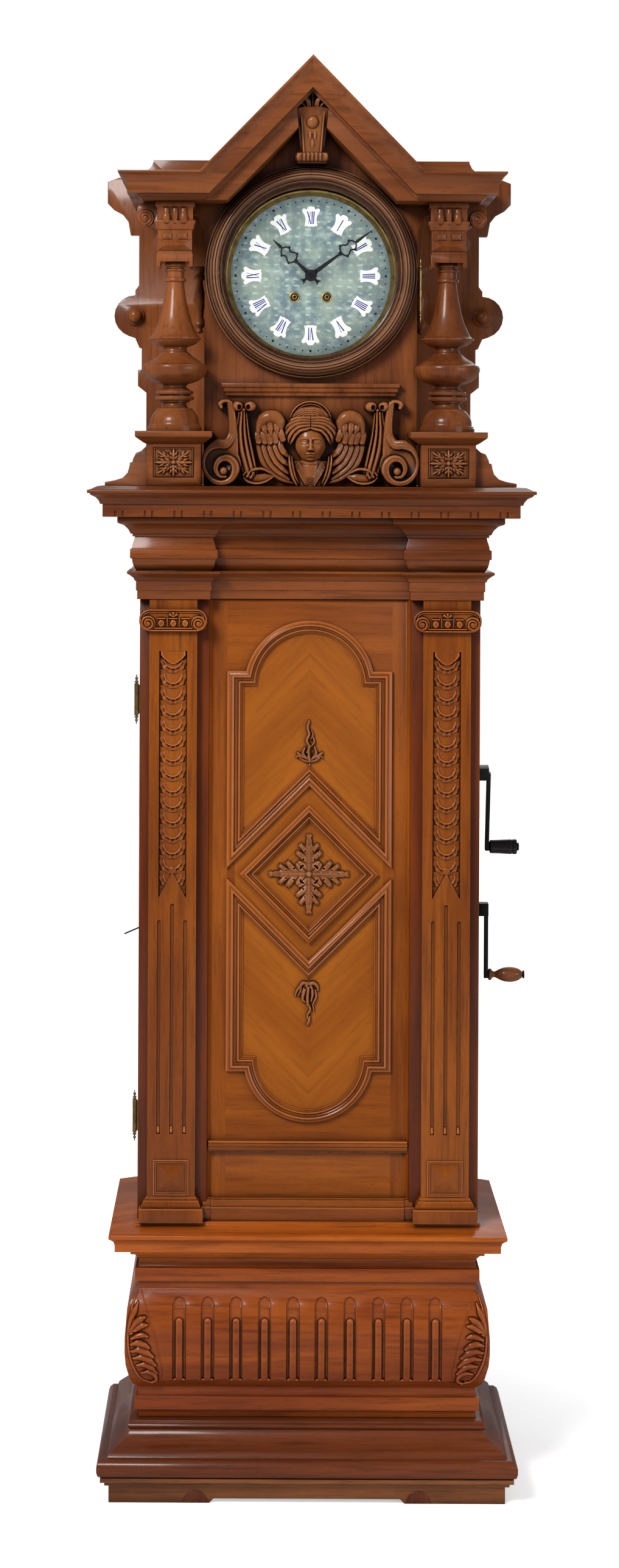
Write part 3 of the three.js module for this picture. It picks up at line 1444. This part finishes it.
add(
  "movement_back_plate",
  cut(
    join(
      plateAt(backPlateFront),
      ...pillarRods,
      box(
        [-cock.halfWidth, cock.halfWidth],
        [backPlateRear - seat, cockRear],
        [cock.z - cock.height / 2, cock.z + cock.height / 2],
      ),
    ),
    ...pivotHoles(backPlateFront),
    bore(cock.pinRadius + arbor.clearance, cockRear - cock.pinLength / 2, cockRear + overrun, 0, cock.z),
  ),
  brass,
);
const barrelProfile = (y) => [
  [0, winding.front - y], [winding.arbor, winding.front - y], [winding.arbor, 0],
  [train.barrel.radius, 0], [train.barrel.radius, train.barrel.rear - y], [winding.arbor, train.barrel.rear - y],
  [winding.arbor, backPlateRear - seat - y], [0, backPlateRear - seat - y],
];
for (const [name, sign] of [["going_barrel", 1], ["strike_barrel", -1]]) {
  const barrel = add(name, turnedDeep(barrelProfile(train.barrel.front), mostSides), brass);
  barrel.position.set(sign * winding.x, train.barrel.front, train.barrel.z);
}
const toothShare = 0.86;
const escapeOutline = Array.from({ length: train.escape.teeth * 2 }, (_, i) => {
  const angle = (i * Math.PI) / train.escape.teeth;
  const radius = train.escape.radius * (i % 2 ? toothShare : 1);
  return [radius * Math.cos(angle), radius * Math.sin(angle)];
});
const pivotRod = bore(pivotRadius, plates.front + seat, backPlateRear - seat);
add(
  "escape_wheel",
  join(slab(escapeOutline, train.escape.front, train.escape.front + train.escape.thickness), pivotRod),
  brass,
).position.z = train.escape.z;
const { reach: palletReach, drop: palletDrop } = train.anchor;
const anchorShares = [
  [0, 0.3], [0.9, -0.2], [1.15, -0.95], [1, -1], [0.75, -0.45], [0, -0.2], [-0.75, -0.45], [-1, -1],
  [-1.15, -0.95], [-0.9, -0.2],
];
add(
  "anchor",
  join(
    slab(
      anchorShares.map(([across, up]) => [across * palletReach, up * palletDrop]),
      train.anchor.front,
      train.anchor.front + train.anchor.thickness,
    ),
    pivotRod,
  ),
  iron,
).position.z = train.anchor.z;
const hammerRise = train.hammer.headZ - train.hammer.z;
const hammerLean = train.hammer.headX - train.hammer.x;
add(
  "hammer",
  join(
    pivotRod,
    slab(
      [[-pivotRadius, 0], [pivotRadius, 0], [hammerLean + pivotRadius, hammerRise], [hammerLean - pivotRadius, hammerRise]],
      train.hammer.y - pivotRadius,
      train.hammer.y + pivotRadius,
    ),
    bore(train.hammer.headRadius, train.hammer.y - 2 * overrun, train.hammer.y + overrun, hammerLean, hammerRise),
  ),
  iron,
).position.set(train.hammer.x, 0, train.hammer.z);

// Bell on a stem above the back plate
const bell = { radius: 38, height: 18.5, wall: 2, stem: 2.5, lift: 6 };
const bellShares = [[1, 0], [0.87, 0.5], [0.53, 0.88], [0, 1]];
const bellY = backPlateFront + plates.thickness / 2;
const bellOuter = bellShares.map(([out, up]) => [out * bell.radius, bell.lift + up * bell.height]);
const bellInner = bellShares
  .map(([out, up]) => [Math.max(out * bell.radius - bell.wall, bell.stem), bell.lift + up * bell.height - bell.wall])
  .reverse();
add(
  "bell",
  turned([[0, seat], [bell.stem, seat], ...bellInner.map(([r, z]) => [r, Math.max(z, bell.lift)]), ...bellOuter], mostSides),
  brass,
).position.set(0, bellY, plates.top);

// Pendulum, hung by a pin in the cock behind the back plate
const pendulumLength = 994;
const bobRadius = 70;
const bobDepth = 30;
const rodRear = 8;
const pendulum = { length: pendulumLength, rodRadius: 3, bobRadius, bobDepth, y: cockRear + rodRear };
add(
  "pendulum",
  join(
    bore(cock.pinRadius, cockRear - cock.pinLength / 2 + seat, pendulum.y + pendulum.rodRadius),
    turned(rod(pendulum.rodRadius, -pendulum.length, cock.pinRadius), 8).translate([0, pendulum.y, 0]),
    moved(
      turnedDeep(
        [
          [0, -pendulum.bobDepth / 2], [pendulum.bobRadius * 0.6, -pendulum.bobDepth * 0.4],
          [pendulum.bobRadius, 0], [pendulum.bobRadius * 0.6, pendulum.bobDepth * 0.4], [0, pendulum.bobDepth / 2],
        ],
        24,
      ),
      0,
      pendulum.y,
      -pendulum.length,
    ),
  ),
  brass,
).position.z = cock.z;

// Cranks: an iron arm on an arbor, a grip that spins on the arm's pin, and a line drum inside

const crankShape = measuredFrom(trunkHalfWidth, ["arborEnd", "bossOuter", "pinEnd"], {
  arborEnd: -148,
  bossHalf: 11,
  bossOuter: 28,
  armThickness: 7,
  armHalfWidth: 6,
  pinRadius: 4,
  pinEnd: 85.5,
  headRadius: 7,
  headLength: 3,
});
const drum = measuredFrom(trunkHalfWidth, ["x0", "x1"], { x0: -119, x1: -32, radius: 28, flange: 34, flangeThickness: 5 });
const gripProfiles = {
  barrel: { reach: 32, radius: 13.5, shares: [[0.75, 0], [0.95, 0.08], [0.95, 0.3], [1, 0.34], [1, 0.9], [0.85, 1]] },
  pear: {
    reach: 22,
    radius: 13,
    shares: [[0.6, 0], [0.6, 0.1], [0.5, 0.14], [0.45, 0.2], [0.7, 0.42], [1, 0.7], [0.9, 0.88], [0.55, 1]],
  },
};
for (const [name, crank] of Object.entries(cranks)) {
  const group = new THREE.Group();
  group.position.set(0, crank.y, crank.z);
  group.rotation.x = THREE.MathUtils.degToRad(crank.tilt);
  clock.add(group);
  const grip = gripProfiles[crank.grip];
  const gripX = trunkHalfWidth + grip.reach;
  const { arborEnd, bossHalf, bossOuter, armThickness, armHalfWidth, pinRadius, pinEnd, headRadius, headLength } =
    crankShape;
  const outerFace = trunkHalfWidth + 2 * seat;
  const armX = gripX - seat - armThickness;
  const bossEnd = Math.min(bossOuter, gripX - seat);
  add(
    `${name}_crank_arm`,
    join(
      turnedWide(rod(arborRadius, arborEnd, outerFace + overrun), 12),
      box([outerFace, bossEnd], [-bossHalf, bossHalf], [-bossHalf, bossHalf]),
      box([armX, armX + armThickness], [-armHalfWidth, armHalfWidth], [-crank.arm - armHalfWidth, 0]),
      moved(turnedWide(rod(pinRadius, armX, pinEnd), 12), 0, 0, -crank.arm),
      moved(turnedWide(rod(headRadius, pinEnd - headLength, pinEnd), 12), 0, 0, -crank.arm),
    ),
    iron,
    group,
  );
  const gripLength = pinEnd - headLength - seat - gripX;
  const hollow = pinRadius + seat;
  add(
    `${name}_crank_grip`,
    turnedWide(
      [
        [hollow, gripX],
        ...grip.shares.map(([r, along]) => [r * grip.radius, gripX + along * gripLength]),
        [hollow, gripX + gripLength],
        [hollow, gripX],
      ],
      fewSides,
    ),
    crank.grip === "pear" ? walnut : iron,
    group,
  ).position.z = -crank.arm;
  const drumBore = arborRadius + seat;
  add(
    `${name}_line_drum`,
    turnedWide(
      [
        [drumBore, drum.x0], [drum.flange, drum.x0], [drum.flange, drum.x0 + drum.flangeThickness],
        [drum.radius, drum.x0 + drum.flangeThickness], [drum.radius, drum.x1 - drum.flangeThickness],
        [drum.flange, drum.x1 - drum.flangeThickness], [drum.flange, drum.x1], [drumBore, drum.x1],
        [drumBore, drum.x0],
      ],
      mostSides,
    ),
    pine,
    group,
  );
}
const bearerGap = 7;
const bearerThickness = 18;
const bearerFront = -52;
const bearerAbove = 58;
const bearerBelow = 52;
const bearer = {
  x0: drum.x0 - bearerGap - bearerThickness,
  x1: drum.x0 - bearerGap,
  front: bearerFront,
  z0: cranks.lower.z - bearerBelow,
  z1: cranks.upper.z + bearerAbove,
};
add(
  "crank_bearer",
  cut(
    box([bearer.x0, bearer.x1], [bearer.front, trunkBackFront - seat], [bearer.z0, bearer.z1]),
    ...Object.values(cranks).map((crank) => arborHole(crank, bearer.x0 - overrun, bearer.x1 + overrun)),
  ),
  pine,
);

// Wire lever through the left-hand side
const leverRod = turnedWide(rod(lever.radius, -lever.reach, lever.inside), 8);
const leverMesh = add("start_lever", leverRod, iron);
leverMesh.position.set(leverPivotX, lever.y, lever.z);
leverMesh.rotation.y = -Math.atan2(lever.droop, lever.reach);

export default clock;
